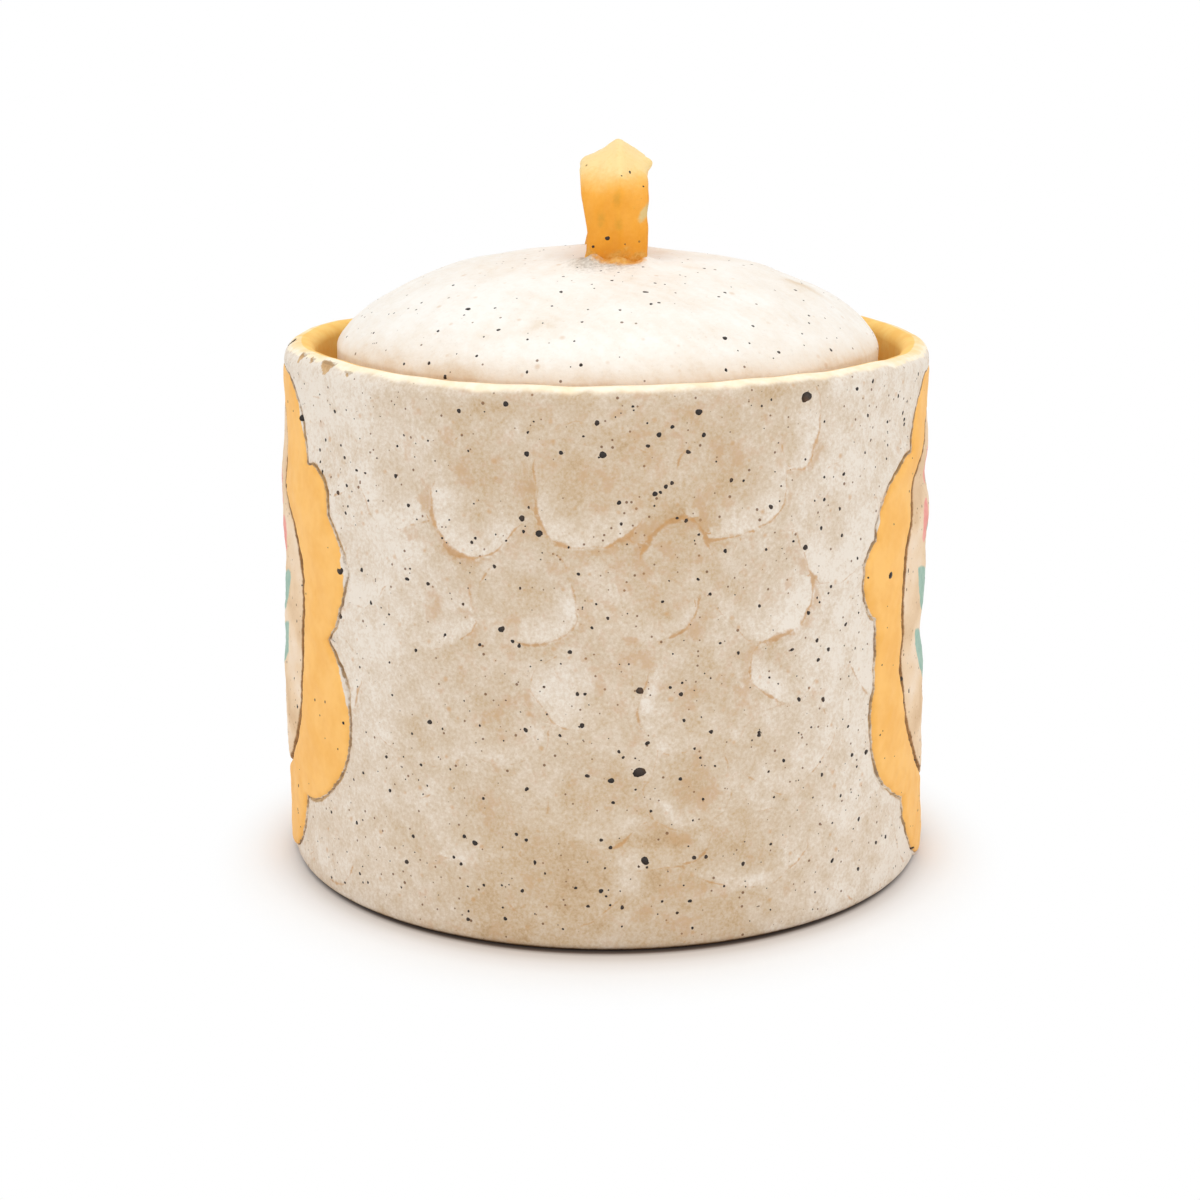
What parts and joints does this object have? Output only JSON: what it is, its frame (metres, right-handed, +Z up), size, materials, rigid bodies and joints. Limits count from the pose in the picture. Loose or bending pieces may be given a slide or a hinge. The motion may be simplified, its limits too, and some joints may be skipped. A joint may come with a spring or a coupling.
{
  "type": "spice jar",
  "caption": "Hand-built round stoneware jar with a thumb-pressed wall, framed side panels and a drop-in domed lid lifted by a strap loop.",
  "frame": {"origin": "middle of the foot, on the table", "axes": "+Z up along the jar's axis; the plain thumb-pressed side faces -Y, the framed panels face -X and +X"},
  "size_m": [0.1016, 0.1004, 0.1102],
  "materials": {
    "white_slip": "satin white slip brushed thin over speckled tan stoneware",
    "yellow_underglaze": "satin golden yellow underglaze",
    "bare_clay": "unglazed, sandy, speckled"
  },
  "bodies": {
    "jar": {"base_slab": "bare_clay", "wall_slab": "white_slip", "lid_seat_coil": "yellow_underglaze", "left_frame": "yellow_underglaze", "right_frame": "yellow_underglaze", "left_panel": "bare_clay", "right_panel": "bare_clay"},
    "lid": {"lid_dome": "white_slip", "lid_handle": "yellow_underglaze"}
  },
  "joints": [
    {"name": "lid_lift", "type": "slide", "parent": "jar", "child": "lid", "axis": [0, 0, 1], "range_m": [0, 0.07]}
  ]
}
